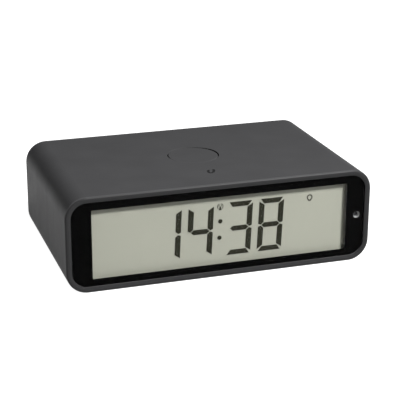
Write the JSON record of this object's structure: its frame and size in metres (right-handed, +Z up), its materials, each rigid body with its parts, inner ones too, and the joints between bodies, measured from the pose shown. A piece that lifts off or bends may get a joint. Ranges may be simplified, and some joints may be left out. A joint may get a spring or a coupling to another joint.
{
  "type": "turn-over digital alarm clock",
  "caption": "Flat rounded table clock with a dark sleeve case, glossy black front panel, liquid crystal time display and a round press key on the top and bottom.",
  "frame": {"origin": "middle of the bottom face, on the surface that the clock stands on", "axes": "+X to the right as seen by a person reading the display, -Y towards that person, +Z up"},
  "size_m": [0.11, 0.068, 0.034],
  "materials": {
    "case_plastic": "satin soft-touch dark grey",
    "cover_plastic": "fine-grained dark grey",
    "lens_acrylic": "clear polished acrylic",
    "print_black": "black print seen through the lens",
    "foam_black": "black adhesive foam",
    "lcd_film": "clear polarising film",
    "lcd_glass": "clear thin glass",
    "lcd_ground": "light grey-green display ground",
    "lcd_ink": "dark grey-green segments",
    "lcd_faint": "faint grey icons",
    "white_plastic": "white moulded plastic",
    "board_laminate": "green solder-masked laminate",
    "black_epoxy": "black epoxy and switch plastic",
    "chassis_plastic": "mid grey moulded plastic",
    "led_yellow": "pale yellow lamp body",
    "steel": "bright zinc-plated steel",
    "screw_black": "blackened steel",
    "ferrite": "dark grey ferrite",
    "copper_wire": "enamelled copper winding",
    "sounder_brass": "thin brass disc",
    "sounder_ceramic": "silvered ceramic disc",
    "cell_jacket": "plain grey jacket on round cells",
    "wire_red": "red insulation",
    "wire_black": "black insulation"
  },
  "bodies": {
    "case": {"housing_sleeve": "case_plastic", "front_lens": "lens_acrylic", "lens_mask": "print_black", "lens_gasket": "foam_black", "lcd_front_polariser": "lcd_film", "lcd_front_glass": "lcd_glass", "lcd_rear_glass": "lcd_ground", "lcd_reflector": "lcd_ground", "light_guide": "white_plastic", "lcd_seal": "lcd_ground", "lcd_segments": "lcd_ink", "lcd_icons": "lcd_faint", "lcd_holder": "white_plastic", "zebra_strips": "foam_black", "main_board": "board_laminate", "board_screws": "steel", "controller_chip": "black_epoxy", "quartz_crystal": "steel", "capacitors": "black_epoxy", "backlight_leds": "led_yellow", "light_sensor": "black_epoxy", "sensor_sleeve": "white_plastic", "tilt_switch_can": "steel", "tilt_switch_cap": "steel", "tilt_switch_legs": "steel", "inner_chassis": "chassis_plastic", "upper_key_board": "board_laminate", "lower_key_board": "board_laminate", "key_switches": "black_epoxy", "antenna_core": "ferrite", "antenna_coil": "copper_wire", "antenna_clips": "chassis_plastic", "receiver_board": "board_laminate", "receiver_chip": "black_epoxy", "rear_cover": "cover_plastic", "cover_screws": "screw_black", "rear_key_board": "board_laminate", "rear_switches": "black_epoxy", "buzzer_ring": "chassis_plastic", "buzzer_plate": "sounder_brass", "buzzer_ceramic": "sounder_ceramic", "battery_tray": "cover_plastic", "battery_cells": "cell_jacket", "contact_plates": "steel", "contact_leaves": "steel", "battery_wire_red": "wire_red", "battery_wire_black": "wire_black"},
    "upper_key": {"upper_key": "case_plastic", "upper_plunger": "chassis_plastic"},
    "lower_key": {"lower_key": "case_plastic", "lower_plunger": "chassis_plastic"},
    "set_key": {"set_key": "cover_plastic"},
    "plus_key": {"plus_key": "cover_plastic"},
    "minus_key": {"minus_key": "cover_plastic"},
    "light_key": {"light_key": "cover_plastic"},
    "battery_door": {"battery_door": "cover_plastic"},
    "tilt_ball": {"tilt_ball": "steel"}
  },
  "joints": [
    {"name": "upper_key_press", "type": "slide", "parent": "case", "child": "upper_key", "axis": [0, 0, -1], "range_m": [0, 0.0005], "stiffness_N_per_m": 2500, "springref_m": -0.0003},
    {"name": "lower_key_press", "type": "slide", "parent": "case", "child": "lower_key", "axis": [0, 0, 1], "range_m": [0, 0.0005], "stiffness_N_per_m": 2500, "springref_m": -0.0003},
    {"name": "set_key_press", "type": "slide", "parent": "case", "child": "set_key", "axis": [0, -1, 0], "range_m": [0, 0.0005], "stiffness_N_per_m": 2000, "springref_m": -0.0003},
    {"name": "plus_key_press", "type": "slide", "parent": "case", "child": "plus_key", "axis": [0, -1, 0], "range_m": [0, 0.0005], "stiffness_N_per_m": 2000, "springref_m": -0.0003},
    {"name": "minus_key_press", "type": "slide", "parent": "case", "child": "minus_key", "axis": [0, -1, 0], "range_m": [0, 0.0005], "stiffness_N_per_m": 2000, "springref_m": -0.0003},
    {"name": "light_key_press", "type": "slide", "parent": "case", "child": "light_key", "axis": [0, -1, 0], "range_m": [0, 0.0005], "stiffness_N_per_m": 2000, "springref_m": -0.0003},
    {"name": "battery_door_removal", "type": "slide", "parent": "case", "child": "battery_door", "axis": [0, 1, 0], "range_m": [0, 0.025]},
    {"name": "tilt_ball_roll", "type": "slide", "parent": "case", "child": "tilt_ball", "axis": [0, 0, 1], "range_m": [0, 0.0054]}
  ]
}
